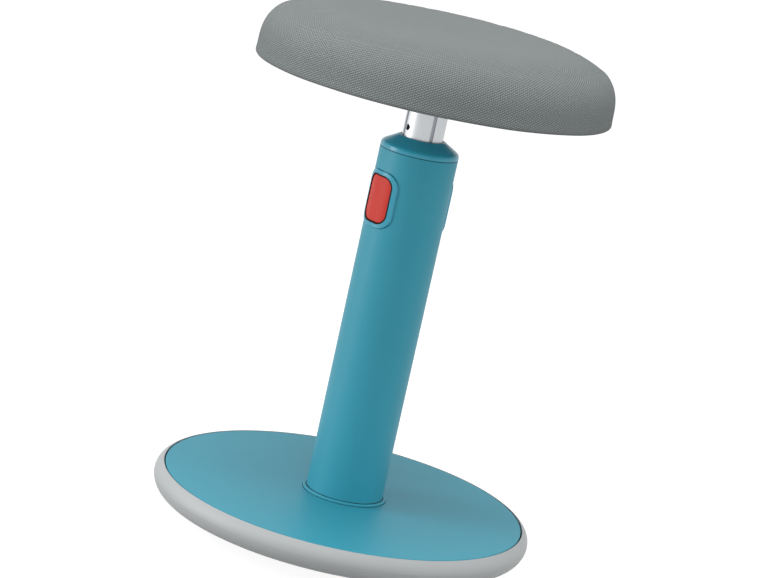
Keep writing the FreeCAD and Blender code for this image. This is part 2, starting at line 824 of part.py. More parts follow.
def coil_path(radius, z0, z1, turns):
    """A rising coil about the column's axis, two tangent arcs to each quarter turn."""
    count = int(round(4 * turns))
    rise = (z1 - z0) / (2 * math.pi * turns)

    def place(k):
        a = math.pi / 2 * k
        point = V(radius * math.cos(a), radius * math.sin(a), z0 + rise * a)
        return point, V(-radius * math.sin(a), radius * math.cos(a), rise).normalize()

    edges = []
    for k in range(count):
        (p, t), (q, u) = place(k), place(k + 1)
        chord, lean = q - p, t + u
        a, b, c = lean.dot(lean) - 4, -2 * chord.dot(lean), chord.dot(chord)
        reach = (-b - math.sqrt(b * b - 4 * a * c)) / (2 * a)
        joint = (p + t * reach + q - u * reach) * 0.5
        edges.append(tangent_arc(p, p + t * reach, joint))
        edges.append(tangent_arc(joint, q - u * reach, q))
    start, direction = place(0)
    return Part.Wire(edges), start, direction


def make_return_spring():
    """Coil under the collar that brings it and both buttons back."""
    wire = return_spring_wire / 2
    mean = sleeve_radius + return_spring_clearance + wire
    low, high = housing_floor_z + wire, ring_z - wire
    path, start, direction = coil_path(mean, low, high, return_spring_turns)
    section = Part.Wire(Part.makeCircle(wire, start, direction))
    return path.makePipeShell([section], True)


def make_push_rod():
    """Rod from the collar down to the lever, with a rounded lower end."""
    end_z = lever_top_z + rest_gap + push_rod_radius
    shaft = rod(push_rod_radius, end_z, ring_top_z, 0.0, push_rod_y)
    ball = Part.makeSphere(push_rod_radius, V(0, push_rod_y, end_z))
    return fuse_all([shaft, ball])


def make_release_lever():
    """Rocking bar: the push rod presses its outer end, its inner end lifts the release pin."""
    half = lever_thickness / 2
    pivot_y = lever_inner_arm
    bar = block(-half, half, -lever_inner_overhang, push_rod_y + lever_outer_overhang,
                lever_z - lever_height / 2, lever_top_z)
    boss = Part.makeCylinder(lever_boss_radius, lever_thickness, V(-half, pivot_y, lever_z), V(1, 0, 0))
    hole = Part.makeCylinder(pivot_pin_radius + press_clearance, lever_thickness + 2 * overshoot,
                             V(-half - overshoot, pivot_y, lever_z), V(1, 0, 0))
    return fuse_all([bar, boss]).cut(hole)


def make_lever_pivot_pin():
    reach = head_half_width
    return Part.makeCylinder(pivot_pin_radius, 2 * reach, V(-reach, lever_inner_arm, lever_z), V(1, 0, 0))


def head_screw_places():
    x = (lever_thickness / 2 + lever_slot_clearance + head_half_width) / 2
    return [(-x, head_screw_y), (x, head_screw_y)]


def make_release_head():
    """Block on the foot plug that holds the spring's rod and the lever."""
    z0, z1 = plug_top_z, head_top_z
    body = block(-head_half_width, head_half_width, -head_half_length, head_half_length, z0, z1)
    slot = lever_thickness / 2 + lever_slot_clearance
    body = body.cut(block(-slot, slot, -head_half_length - overshoot, head_half_length + overshoot,
                          slot_floor_z, rod_end_z))
    body = body.cut(rod(spring_rod_radius + press_clearance, rod_end_z - overshoot, z1 + overshoot))
    reach = head_half_width + overshoot
    body = body.cut(Part.makeCylinder(pivot_pin_radius + press_clearance, 2 * reach,
                                      V(-reach, lever_inner_arm, lever_z), V(1, 0, 0)))
    for x, y in head_screw_places():
        body = body.cut(rod(head_screw_radius + screw_room, z0 - overshoot, z1 + overshoot, x, y))
        body = body.cut(rod(head_screw_head_radius + screw_head_room, z1 - head_screw_head_height,
                            z1 + overshoot, x, y))
    return body


def make_release_head_screws():
    screws = []
    for x, y in head_screw_places():
        head = rod(head_screw_head_radius, head_top_z - head_screw_head_height, head_top_z, x, y)
        shank = rod(head_screw_radius, plug_top_z - head_screw_bite,
                    head_top_z - head_screw_head_height, x, y)
        screws.append(fuse_all([head, shank]))
    return Part.makeCompound(screws)


# Gas spring


def make_spring_rod():
    """Polished rod, fixed in the release head, with a bore for the release pin."""
    body = rod(spring_rod_radius, rod_end_z, piston_top_z)
    bore_top = release_pin_end_z() + release_pin_length + release_pin_travel + release_pin_bore_end
    return body.cut(rod(release_pin_radius + press_clearance, rod_end_z - overshoot, bore_top))


def release_pin_end_z():
    """Height of the release pin's rounded lower end."""
    return lever_top_z + rest_gap


def make_release_pin():
    z0 = release_pin_end_z()
    shaft = rod(release_pin_radius, z0 + release_pin_radius, z0 + release_pin_length)
    ball = Part.makeSphere(release_pin_radius, V(0, 0, z0 + release_pin_radius))
    return fuse_all([shaft, ball])


def make_spring_piston():
    inner, outer = spring_rod_radius + press_clearance, cylinder_bore - running_clearance
    return ring(inner, outer, piston_z, piston_top_z)


def make_rod_nut():
    nut = hexagon(rod_nut_radius, head_top_z, nut_top_z)
    return nut.cut(rod(spring_rod_radius + press_clearance, head_top_z - overshoot, nut_top_z + overshoot))


def make_bump_stop():
    """Rubber ring that the cylinder comes down on."""
    shape = ring(spring_rod_radius + press_clearance, bump_stop_radius, nut_top_z, bump_top_z)
    ends = (nut_top_z, bump_top_z)
    rims = edges_at(shape, lambda p: math.hypot(p.x, p.y) > bump_stop_radius - 0.01
                    and min(abs(p.z - z) for z in ends) < 0.01)
    return shape.makeFillet(bump_stop_round, rims)


def make_spring_cylinder():
    """Pressure cylinder, open below for its guide, with a stud on top."""
    z0, z1 = cylinder_bottom_z, cylinder_top_z
    body = rod(spring_cylinder_radius, z0, z1)
    body = body.cut(rod(cylinder_bore, z0 - overshoot, z1 - spring_cylinder_end))
    stud = rod(spring_stud_radius, z1 - spring_cylinder_end, z1 + spring_stud_length)
    return fuse_all([body, stud])


def make_cylinder_end_guide():
    """Guide and seal at the cylinder's lower end, round the rod."""
    return ring(spring_rod_radius + running_clearance, cylinder_bore - press_clearance,
                cylinder_bottom_z, cylinder_bottom_z + end_guide_length)


def make_cylinder_spacer():
    """Ring that keeps the cylinder central in the lift tube."""
    z0 = cylinder_bottom_z + spacer_lift
    inner, outer = spring_cylinder_radius + press_clearance, tube_bore - press_clearance
    return ring(inner, outer, z0, z0 + spacer_height)


# Lift tube


def make_lift_tube():
    """Polished tube with four shallow grooves and the hole for the set screw."""
    tube = ring(tube_bore, tube_radius, tube_bottom_z, tube_top_z)
    for k in range(groove_count):
        groove = block(tube_radius - groove_depth, tube_radius + overshoot,
                       -groove_width / 2, groove_width / 2,
                       tube_bottom_z - overshoot, tube_top_z + overshoot)
        groove.rotate(V(0, 0, 0), UP, groove_start_deg + 360.0 / groove_count * k)
        tube = tube.cut(groove)
    hole = Part.makeCylinder(set_screw_radius + press_clearance, tube_radius + overshoot,
                             V(0, 0, set_screw_z), V(-1, 0, 0))
    return tube.cut(hole)


def make_tube_stop_ring():
    """Ring on the tube's foot that stops it at full height."""
    return ring(tube_radius + press_clearance, tube_radius + stop_ring_width,
                tube_bottom_z, tube_bottom_z + stop_ring_height)


def make_top_plug():
    """Plug in the tube's top: it takes the spring's stud, the set screw and the seat's bolt."""
    z0, z1 = top_plug_z, tube_top_z
    plug = rod(tube_bore - press_clearance, z0, z1)
    plug = plug.cut(rod(spring_stud_radius + press_clearance, z0 - overshoot,
                        z0 + spring_stud_length + screw_end_room))
    plug = plug.cut(rod(plate_bolt_radius + press_clearance, z1 - plate_bolt_bite - screw_end_room,
                        z1 + overshoot))
    inner_end = set_screw_inner_x()
    hole = Part.makeCylinder(set_screw_radius + press_clearance, tube_bore - inner_end + overshoot,
                             V(-inner_end, 0, set_screw_z), V(-1, 0, 0))
    return plug.cut(hole)


def set_screw_inner_x():
    """Distance from the axis to the set screw's inner end."""
    return tube_radius - set_screw_recess - set_screw_length


def make_plug_set_screw():
    """Headless screw, sunk in the tube's wall, with a hexagon socket."""
    inner_end = set_screw_inner_x()
    screw = Part.makeCylinder(set_screw_radius, set_screw_length, V(-inner_end, 0, set_screw_z), V(-1, 0, 0))
    socket = hexagon(set_screw_socket, 0.0, set_screw_socket_depth + overshoot)
    socket.rotate(V(0, 0, 0), V(0, 1, 0), -90)
    socket.translate(V(-(inner_end + set_screw_length - set_screw_socket_depth), 0, set_screw_z))
    return screw.cut(socket)


# Seat


def crown_edge(shrink, centre_r, centre_z):
    """The seat's crown as one smooth curve, from the side wall up to the top."""
    a, b = crown_width - shrink, crown_rise - shrink
    points = []
    for k in range(crown_steps + 1):
        t = math.pi / 2 * k / crown_steps
        points.append(V(centre_r + a * math.cos(t) ** (2 / crown_power), 0,
                        centre_z + b * math.sin(t) ** (2 / crown_power)))
    curve = Part.BSplineCurve()
    curve.interpolate(Points=points, InitialTangent=V(0, 0, 1), FinalTangent=V(-1, 0, 0))
    return curve.toShape()


def dish_edges(top_r, top_z):
    """The shallow dish in the seat's top: two arcs that meet halfway, from the crown to the axis."""
    half, drop = top_r / 2, seat_dish / 2
    radius = (half ** 2 + drop ** 2) / (2 * drop)
    swing = math.degrees(math.asin(half / radius))
    outer = arc((top_r, top_z - radius), radius, 90, 90 + swing)
    inner = arc((0, top_z - seat_dish + radius), radius, 270 + swing, 270)
    return [outer, inner]


def make_seat_cover():
    """Knitted cover over the crown and sides, turned in under the pan's rim."""
    r, low = seat_radius, seat_z
    t, c = fabric_thickness, seat_bottom_round
    turn_in = r - fabric_turn_in
    top_in = seat_top_z - t
    outline = [line((turn_in, low), (r - c, low)), arc((r - c, low + c), c, -90, 0),
               line((r, low + c), (r, crown_foot_z)), crown_edge(0.0, crown_inner_radius, crown_foot_z)]
    outline += dish_edges(crown_inner_radius, seat_top_z)
    outline.append(line((0, seat_top_z - seat_dish), (0, top_in - seat_dish)))
    inner = dish_edges(crown_inner_radius, top_in)
    outline += [inner[1], inner[0], crown_edge(t, crown_inner_radius, crown_foot_z)]
    outline += polyline([(r - t, crown_foot_z), (r - t, low + t), (turn_in, low + t), (turn_in, low)])
    return turned(outline)


def make_seat_foam():
    """Foam block on the pan, down its sides and up to the crown."""
    skin = fabric_thickness + press_clearance
    r = seat_radius - skin
    top = seat_top_z - skin
    outline = polyline([(0, pan_top_z), (pan_radius, pan_top_z), (pan_radius, pan_rim_z),
                        (r, pan_rim_z), (r, crown_foot_z)])
    outline.append(crown_edge(skin, crown_inner_radius, crown_foot_z))
    outline += dish_edges(crown_inner_radius, top)
    outline.append(line((0, top - seat_dish), (0, pan_top_z)))
    return turned(outline)


def make_seat_pan():
    """Moulded pan with a downward rim, insert holes and bosses for the under cover."""
    pan = rod(pan_radius - press_clearance, pan_z, pan_top_z)
    rim = ring(pan_radius - pan_rim_width, pan_radius - press_clearance, pan_rim_z, pan_z)
    bosses = [rod(under_boss_radius, pan_rim_z, pan_z, x, y) for x, y in under_screw_places()]
    pan = fuse_all([pan, rim] + bosses)
    pan = pan.cut(rod(plate_bolt_head_radius + pan_hole_clearance, pan_z - overshoot, pan_top_z + overshoot))
    for x, y in seat_screw_places():
        pan = pan.cut(rod(insert_nut_radius + press_clearance, pan_z - overshoot,
                          pan_top_z + overshoot, x, y))
    for x, y in under_screw_places():
        pan = pan.cut(rod(under_screw_radius + press_clearance, pan_rim_z - overshoot,
                          pan_z + under_screw_bite + screw_end_room, x, y))
    return pan


def seat_screw_places():
    return circle_points(seat_screw_count, seat_screw_circle_radius, 180.0 / seat_screw_count)


def under_screw_places():
    return circle_points(under_screw_count, under_screw_circle_radius, 0.0)


def make_seat_insert_nuts():
    z1 = pan_top_z - insert_nut_sink
    nuts = [ring(seat_screw_radius + press_clearance, insert_nut_radius, pan_z, z1, x, y)
            for x, y in seat_screw_places()]
    return Part.makeCompound(nuts)


def make_seat_screws():
    """Low-headed screws from below, through the mount plate into the pan's inserts."""
    screws = []
    for x, y in seat_screw_places():
        head = rod(seat_screw_head_radius, plate_z - seat_screw_head_height, plate_z, x, y)
        shank = rod(seat_screw_radius, plate_z, pan_top_z - seat_screw_sink, x, y)
        screws.append(fuse_all([head, shank]))
    return Part.makeCompound(screws)


def make_seat_mount_plate():
    plate = rod(mount_plate_radius, plate_z, pan_z)
    plate = plate.cut(rod(plate_bolt_radius + screw_room, plate_z - overshoot, pan_z + overshoot))
    for x, y in seat_screw_places():
        plate = plate.cut(rod(seat_screw_radius + screw_room, plate_z - overshoot, pan_z + overshoot, x, y))
    return plate


def make_plate_bolt():
    """Bolt through the mount plate, down into the tube's top plug."""
    head = hexagon(plate_bolt_head_radius, pan_z, pan_z + plate_bolt_head_height)
    shank = rod(plate_bolt_radius, tube_top_z - plate_bolt_bite, pan_z)
    return fuse_all([head, shank])


def make_seat_under_cover():
    """Plastic plate that closes the seat's underside round the tube."""
    hole = tube_radius + under_cover_hole_gap
    edge = seat_radius - fabric_turn_in - under_cover_gap
    cover = ring(hole, edge, seat_z, seat_z + under_cover_thickness)
    for x, y in under_screw_places():
        cover = cover.cut(rod(under_screw_radius + screw_room, seat_z - overshoot,
                              seat_z + under_cover_thickness + overshoot, x, y))
        cover = cover.cut(rod(under_screw_head_radius + screw_head_room, seat_z - overshoot,
                              seat_z + under_screw_head_height, x, y))
    return cover


def make_under_cover_screws():
    screws = []
    for x, y in under_screw_places():
        head = rod(under_screw_head_radius, seat_z, seat_z + under_screw_head_height, x, y)
        shank = rod(under_screw_radius, seat_z + under_screw_head_height, pan_z + under_screw_bite, x, y)
        screws.append(fuse_all([head, shank]))
    return Part.makeCompound(screws)


pieces = {
    "rocker_sole": make_rocker_sole,
    "foot_pad": make_foot_pad,
    "ballast_weight": make_ballast_weight,
    "cover_support": make_cover_support,
    "sole_screws": make_sole_screws,
    "base_cover": make_base_cover,
    "column_socket": make_column_socket,
    "socket_bolts": make_socket_bolts,
    "column_collar": make_column_collar,
    "column_tube": make_column_tube,
    "column_foot_plug": make_column_foot_plug,
    "column_bolt": make_column_bolt,
    "column_bolt_washer": make_column_bolt_washer,
    "column_cap": make_column_cap,
    "cap_wiper_ring": make_cap_wiper_ring,
    "guide_housing": make_guide_housing,
    "upper_bush": make_upper_bush,
    "lower_bush": make_lower_bush,
    "bezel_left": lambda: make_bezel(-1),
    "bezel_right": lambda: make_bezel(1),
    "button_left": lambda: make_button(-1),
    "button_right": lambda: make_button(1),
    "release_collar": make_release_collar,
    "collar_pins": make_collar_pins,
    "return_spring": make_return_spring,
    "push_rod": make_push_rod,
    "release_lever": make_release_lever,
    "lever_pivot_pin": make_lever_pivot_pin,
    "release_head": make_release_head,
    "release_head_screws": make_release_head_screws,
    "release_pin": make_release_pin,
    "spring_rod": make_spring_rod,
    "spring_piston": make_spring_piston,
    "rod_nut": make_rod_nut,
    "bump_stop": make_bump_stop,
    "spring_cylinder": make_spring_cylinder,
    "cylinder_end_guide": make_cylinder_end_guide,
    "cylinder_spacer": make_cylinder_spacer,
    "lift_tube": make_lift_tube,
    "tube_stop_ring": make_tube_stop_ring,
    "top_plug": make_top_plug,
    "plug_set_screw": make_plug_set_screw,
    "seat_mount_plate": make_seat_mount_plate,
    "plate_bolt": make_plate_bolt,
    "seat_screws": make_seat_screws,
    "seat_insert_nuts": make_seat_insert_nuts,
    "seat_pan": make_seat_pan,
    "seat_foam": make_seat_foam,
    "seat_cover": make_seat_cover,
    "seat_under_cover": make_seat_under_cover,
    "under_cover_screws": make_under_cover_screws,
}

os.makedirs("parts", exist_ok=True)
for name, make in pieces.items():
    shape = make()
    solids = shape.Solids
    if not shape.isValid() or not solids:
        print("INVALID", name)
    shape.exportStep(os.path.join("parts", name + ".step"))
    print("%-20s solids %d volume %.1f" % (name, len(solids), shape.Volume))
print("deck %.2f button %.2f cap top %.2f seat %.2f to %.2f lever swing %.3f deg"
      % (deck_z, button_z, cap_top_z, seat_z, seat_top_z, lever_swing_deg))
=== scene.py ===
import json
import math
import bmesh
import bpy
from mathutils import Matrix, Vector, kdtree, noise


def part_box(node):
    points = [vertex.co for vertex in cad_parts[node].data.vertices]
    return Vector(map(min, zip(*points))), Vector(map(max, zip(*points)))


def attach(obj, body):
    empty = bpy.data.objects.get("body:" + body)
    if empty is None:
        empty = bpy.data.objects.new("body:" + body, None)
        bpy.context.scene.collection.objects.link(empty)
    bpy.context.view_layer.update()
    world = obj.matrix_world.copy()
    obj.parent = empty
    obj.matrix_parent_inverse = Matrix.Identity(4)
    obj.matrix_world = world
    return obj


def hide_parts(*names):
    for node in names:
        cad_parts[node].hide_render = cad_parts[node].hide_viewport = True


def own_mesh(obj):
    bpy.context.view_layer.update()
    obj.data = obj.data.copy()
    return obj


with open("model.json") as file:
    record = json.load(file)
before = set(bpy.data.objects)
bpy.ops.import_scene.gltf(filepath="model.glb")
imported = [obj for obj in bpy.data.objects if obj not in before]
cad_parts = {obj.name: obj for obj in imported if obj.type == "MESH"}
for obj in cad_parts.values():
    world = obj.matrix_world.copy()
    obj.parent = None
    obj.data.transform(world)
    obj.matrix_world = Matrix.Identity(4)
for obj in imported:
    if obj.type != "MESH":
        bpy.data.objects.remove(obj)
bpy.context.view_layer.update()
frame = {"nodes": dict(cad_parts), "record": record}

# Wobble stool: the finishes of its pieces, the knitted cushion, the studio and the camera.
# Metres, in the model's own frame.

mm = 0.001

# Camera: it looks down at the stool, and it is rolled, which makes the upright stool lean
camera_place = Vector((-1.6303, -2.0867, 0.8519))
camera_aim = Vector((-0.0030, 0.0023, 0.2594))
camera_roll_deg = 12.467
camera_lens_mm = 129.3
camera_sensor_mm = 36.0

# Cushion, the same form as the solids that it stands for
crown_width = 53.0 * mm
crown_rise = 44.9 * mm
crown_power = 2.33
seat_dish = 4.0 * mm
seat_bottom_round = 3.0 * mm
fabric_thickness = 2.5 * mm
fabric_turn_in = 17.5 * mm
pan_gap = 0.1 * mm
cushion_sides = 320
cushion_step = 3.0 * mm
edge_step = cushion_step / 3
crown_fineness = 4
swell_size = 0.3 * mm
swell_pitch = 60.0 * mm

# Gathers of the cover under the seat, spaced a little unevenly
gather_count = 96
gather_depth = 0.9 * mm
gather_drift = 1.7
gather_drift_waves = 5

# Cloth simulation on a coarse copy of the cushion, whose moves the fine skin takes over
puff_voxel = 6.0 * mm
puff_pressure = 4.0
puff_quality = 5
puff_mass = 0.3
puff_frames = 20
puff_cap = 1.6 * mm
puff_start = 1.1 * mm
puff_neighbours = 12
puff_blur = 2.0 * mm

# Black rubber lips in the gaps round the buttons, as painted shade lines
button_half_width = 16.4 * mm
button_half_height = 22.35 * mm
button_corner = 9.5 * mm
lip_clearance = 0.1 * mm
lip_width = 0.87 * mm
lip_overlap = 0.5 * mm
lip_lap_depth = 0.2 * mm
lip_depth = 1.2 * mm
lip_sink = -0.14 * mm
lip_round = 0.12 * mm
lip_corner_steps = 14
lip_side_steps = 10

# Sections of the dark seals that stand as painted shade in the seams, each point (outward, upward) from the
# edge that the seal follows
cap_shade_seal_section = ((-0.38 * mm, 0.0), (-0.1 * mm, -0.3 * mm), (-0.04 * mm, 0.0), (-0.1 * mm, 0.3 * mm))
inner_shade_seal_section = ((0.02 * mm, -0.6 * mm), (0.02 * mm, 0.25 * mm), (0.3 * mm, 0.2 * mm),
                      (0.7 * mm, -0.05 * mm))
outer_shade_seal_section = ((-0.3 * mm, 0.02 * mm), (-0.3 * mm, 0.3 * mm), (0.3 * mm, 0.25 * mm),
                      (0.5 * mm, 0.02 * mm))
shade_seal_sides = 192

# Knit of the cover
knit_wales = 520
knit_wale = 2.12 * mm
knit_pitch = 2.45 * mm
knit_lean_deg = 30.0
stitch_length = 1.27 * mm
stitch_width = 0.92 * mm
knit_turn_from = 122.0 * mm
knit_turn_to = 152.0 * mm
knit_relief = 0.28 * mm
knit_drift = 0.4
knit_fuzz = 0.06
stitch_mean = 0.42
top_contrast = 0.25

# Studio
lamp_aim = Vector((0, 0, 0.27))
ambient_level = 0.42
floor_size = 60.0
floor_bounce = 0.29
floor_shade = 0.3
floor_glow = 0.9

# Colours, as screen values from 0 to 255
teal = (51, 149, 170)
# The cap's teal: partly its own plastic colour, partly painted light, lighter than the paint to brighten the
# cone in the seat's shade
teal_cap_lit = (51, 155, 180)
coral_red = (203, 48, 34)
rim_grey = (172, 175, 176)
tube_grey = (196, 199, 201)
# Painted shade: the darker grey that the tube's grooves get
groove_shade_grey = (168, 170, 177)
knit_light = (148, 153, 153)
knit_gap_shade = (102, 107, 107)
dark_rubber = (26, 26, 28)
blackened = (34, 34, 36)

# How far below the tube's face a surface counts as a groove
groove_reach = 0.3 * mm


def screen(colour, gain=1.0):
    """A shader colour from screen values."""
    parts = []
    for value in colour:
        c = value / 255
        linear = c / 12.92 if c <= 0.04045 else ((c + 0.055) / 1.055) ** 2.4
        parts.append(min(1.0, linear * gain))
    return (*parts, 1.0)


class Finish:
    """A procedural material: one Principled shader and the nodes that feed it."""

    def __init__(self, name, **values):
        self.material = bpy.data.materials.new(name)
        self.material.use_nodes = True
        self.tree = self.material.node_tree
        self.shader = self.tree.nodes["Principled BSDF"]
        for key, value in values.items():
            self.shader.inputs[key.replace("_", " ")].default_value = value
        self.place = self.node("ShaderNodeTexCoord").outputs["Object"]

    def node(self, kind, **settings):
        """A new node with these settings."""
        made = self.tree.nodes.new(kind)
        for key, value in settings.items():
            setattr(made, key, value)
        return made

    def link(self, source, target):
        """Joins a socket to an input, or sets the input where the source is a number."""
        if isinstance(source, (int, float)):
            target.default_value = source
        else:
            self.tree.links.new(source, target)

    def math(self, operation, a, b=0.0, clamp=False):
        """One sum of two sockets or numbers."""
        made = self.node("ShaderNodeMath", operation=operation, use_clamp=clamp)
        self.link(a, made.inputs[0])
        self.link(b, made.inputs[1])
        return made.outputs[0]

    def noise(self, scale, detail=2.0, stretch=(1, 1, 1), place=None):
        """Noise from 0 to 1, with about scale features to the metre."""
        squeeze = self.node("ShaderNodeMapping")
        squeeze.inputs["Scale"].default_value = stretch
        self.link(place or self.place, squeeze.inputs["Vector"])
        made = self.node("ShaderNodeTexNoise")
        made.inputs["Scale"].default_value = scale
        made.inputs["Detail"].default_value = detail
        self.link(squeeze.outputs[0], made.inputs["Vector"])
        return made.outputs["Fac"]

    def spread(self, source, low, high):
        """A value from 0 to 1, spread between two others."""
        made = self.node("ShaderNodeMapRange")
        self.link(source, made.inputs["Value"])
        made.inputs["To Min"].default_value = low
        made.inputs["To Max"].default_value = high
        return made.outputs[0]

    def mix(self, factor, dark, light):
        """A colour between two others."""
        made = self.node("ShaderNodeMix", data_type="RGBA")
        self.link(factor, made.inputs["Factor"])
        for key, colour in (("A", dark), ("B", light)):
            socket = next(s for s in made.inputs if s.name == key and s.type == "RGBA")
            if isinstance(colour, tuple):
                socket.default_value = colour
            else:
                self.link(colour, socket)
        return next(s for s in made.outputs if s.type == "RGBA")

    def colour(self, source):
        """Sets the base colour."""
        self.link(source, self.shader.inputs["Base Color"])

    def roughness(self, source):
        """Sets the roughness."""
        self.link(source, self.shader.inputs["Roughness"])

    def bump(self, height, depth, before=None):
        """Relief of this depth in metres."""
        made = self.node("ShaderNodeBump")
        made.inputs["Distance"].default_value = depth
        self.link(height, made.inputs["Height"])
        if before:
            self.link(before, made.inputs["Normal"])
        self.link(made.outputs[0], self.shader.inputs["Normal"])
        return made.outputs[0]


def satin(name, colour, rough, grain, depth, tone=0.04, **values):
    """Paint or moulded plastic: an even colour that varies a little, and a fine grain."""
    f = Finish(name, **values)
    f.colour(f.mix(f.noise(9.0, 3.0), screen(colour, 1 - tone), screen(colour, 1 + tone)))
    f.roughness(f.spread(f.noise(grain / 6, 3.0), rough - 0.03, rough + 0.03))
    f.bump(f.noise(grain, 2.0), depth)
    return f.material


def teal_paint():
    """Satin powder coat with a faint orange peel."""
    f = Finish("teal_paint", Specular_IOR_Level=0.45)
    f.colour(f.mix(f.noise(7.0, 3.0), screen(teal, 0.97), screen(teal, 1.03)))
    f.roughness(f.spread(f.noise(240.0, 3.0), 0.48, 0.54))
    peel = f.bump(f.noise(420.0, 2.0), 0.012 * mm)
    f.bump(f.noise(2600.0, 1.0), 0.006 * mm, peel)
    return f.material


def grey_sole():
    """Matt moulded sole with a soft bloom and a fine grain."""
    f = Finish("grey_rubber", Specular_IOR_Level=0.4)
    bloom = f.mix(f.noise(14.0, 4.0), screen(rim_grey, 0.96), screen(rim_grey, 1.03))
    f.colour(bloom)
    f.roughness(f.spread(f.noise(300.0, 3.0), 0.46, 0.56))
    f.bump(f.noise(1500.0, 2.0), 0.02 * mm)
    return f.material


def cast(name, colour, rough, metallic):
    """Cast metal: a pebbled skin with darker hollows."""
    f = Finish(name, Metallic=metallic)
    pebbles = f.noise(380.0, 4.0)
    f.colour(f.mix(pebbles, screen(colour, 0.75), screen(colour, 1.15)))
    f.roughness(f.spread(pebbles, rough - 0.08, rough + 0.08))
    f.bump(pebbles, 0.15 * mm)
    return f.material


def turned_metal(name, colour, rough, lines=1400.0, depth=0.004 * mm):
    """Bright metal with fine lines drawn along its length."""
    f = Finish(name, Metallic=1.0)
    drawn = f.noise(lines, 3.0, stretch=(1, 1, 0.02))
    f.colour(f.mix(drawn, screen(colour, 0.94), screen(colour, 1.04)))
    f.roughness(f.spread(f.noise(lines / 3, 3.0, stretch=(1, 1, 0.03)), rough - 0.05, rough + 0.06))
    f.bump(drawn, depth)
    return f.material


def grooved_tube():
    """Drawn and polished tube, left dull in its grooves and painted darker there as shade."""
    f = Finish("polished_aluminium", Metallic=1.0)
    split = f.node("ShaderNodeSeparateXYZ")
    f.link(f.place, split.inputs[0])
    x, y = split.outputs[0], split.outputs[1]
    radius = f.math("SQRT", f.math("ADD", f.math("MULTIPLY", x, x), f.math("MULTIPLY", y, y)))
    groove = f.math("LESS_THAN", radius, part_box("lift_tube")[1].x - groove_reach)
    drawn = f.noise(1400.0, 3.0, stretch=(1, 1, 0.02))
    bright = f.mix(drawn, screen(tube_grey, 0.94), screen(tube_grey, 1.04))
    # Painted shade: the grooves get the darker grey
    f.colour(f.mix(groove, bright, screen(groove_shade_grey)))
    f.roughness(f.math("ADD", f.spread(drawn, 0.38, 0.44), f.math("MULTIPLY", groove, 0.2)))
    f.bump(drawn, 0.004 * mm)
    return f.material


def zinc():
    """Zinc plate: a fine spangle that shifts between cool and warm grey."""
    f = Finish("zinc_steel", Metallic=1.0)
    f.colour(f.mix(f.noise(700.0, 3.0), screen((176, 180, 184)), screen((206, 204, 194))))
    f.roughness(f.spread(f.noise(900.0, 2.0), 0.26, 0.4))
    f.bump(f.noise(1800.0, 2.0), 0.006 * mm)
    return f.material


def foam():
    """Open-celled foam."""
    f = Finish("seat_foam", Roughness=0.95)
    cells = f.node("ShaderNodeTexVoronoi", feature="F1")
    cells.inputs["Scale"].default_value = 900.0
    f.link(f.place, cells.inputs["Vector"])
    f.colour(f.mix(cells.outputs["Distance"], screen((150, 146, 122)), screen((226, 220, 190))))
    f.bump(cells.outputs["Distance"], 0.3 * mm)
    return f.material


def stitches(f, wales, along):
    """Staggered columns of leaning stitches: height from 0 to 1, from the place counted in stitches."""
    shift = f.math("MULTIPLY", f.math("MODULO", f.math("ABSOLUTE", f.math("FLOOR", wales)), 2.0), 0.5)
    u = f.math("SUBTRACT", f.math("FRACT", wales), 0.5)
    v = f.math("SUBTRACT", f.math("FRACT", f.math("ADD", along, shift)), 0.5)
    x = f.math("MULTIPLY", u, knit_wale)
    y = f.math("MULTIPLY", v, knit_pitch)
    lean = math.radians(knit_lean_deg)
    long = f.math("ADD", f.math("MULTIPLY", x, math.cos(lean)), f.math("MULTIPLY", y, math.sin(lean)))
    wide = f.math("SUBTRACT", f.math("MULTIPLY", y, math.cos(lean)), f.math("MULTIPLY", x, math.sin(lean)))
    reach_long = f.math("POWER", f.math("ABSOLUTE", f.math("DIVIDE", long, stitch_length)), 2.0)
    reach_wide = f.math("POWER", f.math("ABSOLUTE", f.math("DIVIDE", wide, stitch_width)), 2.0)
    return f.math("SUBTRACT", 1.0, f.math("ADD", reach_long, reach_wide), clamp=True)


def knit():
    """Knitted cover: leaning stitches in staggered columns that run up the side, with painted shade between
    them.
    """
    f = Finish("grey_knit", Roughness=0.9, Specular_IOR_Level=0.2)
    place = f.node("ShaderNodeAttribute", attribute_name="knit_place").outputs["Vector"]
    split = f.node("ShaderNodeSeparateXYZ")
    f.link(place, split.inputs[0])
    x, y = split.outputs[0], split.outputs[1]
    far = f.math("SQRT", f.math("ADD", f.math("MULTIPLY", x, x), f.math("MULTIPLY", y, y)))
    around = f.math("DIVIDE", f.math("ARCTAN2", y, x), 2 * math.pi)
    drift = f.math("MULTIPLY", f.noise(60.0, 2.0, place=place), knit_drift)
    down = f.math("ADD", f.math("DIVIDE", far, -knit_pitch), drift)
    side = stitches(f, f.math("MULTIPLY", around, knit_wales), down)
    top = stitches(f, f.math("DIVIDE", x, knit_wale), f.math("DIVIDE", y, knit_pitch))
    turn = f.node("ShaderNodeMapRange")
    f.link(far, turn.inputs["Value"])
    turn.inputs["From Min"].default_value = knit_turn_from
    turn.inputs["From Max"].default_value = knit_turn_to
    pressed = f.spread(top, stitch_mean - top_contrast / 2, stitch_mean + top_contrast / 2)
    on_top = f.math("MULTIPLY", pressed, f.math("SUBTRACT", 1.0, turn.outputs[0]))
    stitch = f.math("ADD", on_top, f.math("MULTIPLY", side, turn.outputs[0]))
    fibre = f.noise(2600.0, 2.0, stretch=(0.35, 1, 1), place=place)
    height = f.math("ADD", f.math("MULTIPLY", stitch, 1 - knit_fuzz), f.math("MULTIPLY", fibre, knit_fuzz))
    cloudy = f.noise(30.0, 3.0)
    yarn = f.mix(cloudy, screen(knit_light, 0.95), screen(knit_light, 1.05))
    # Painted shade: the gaps between stitches get the darker colour
    f.colour(f.mix(height, screen(knit_gap_shade), yarn))
    f.bump(height, knit_relief)
    return f.material


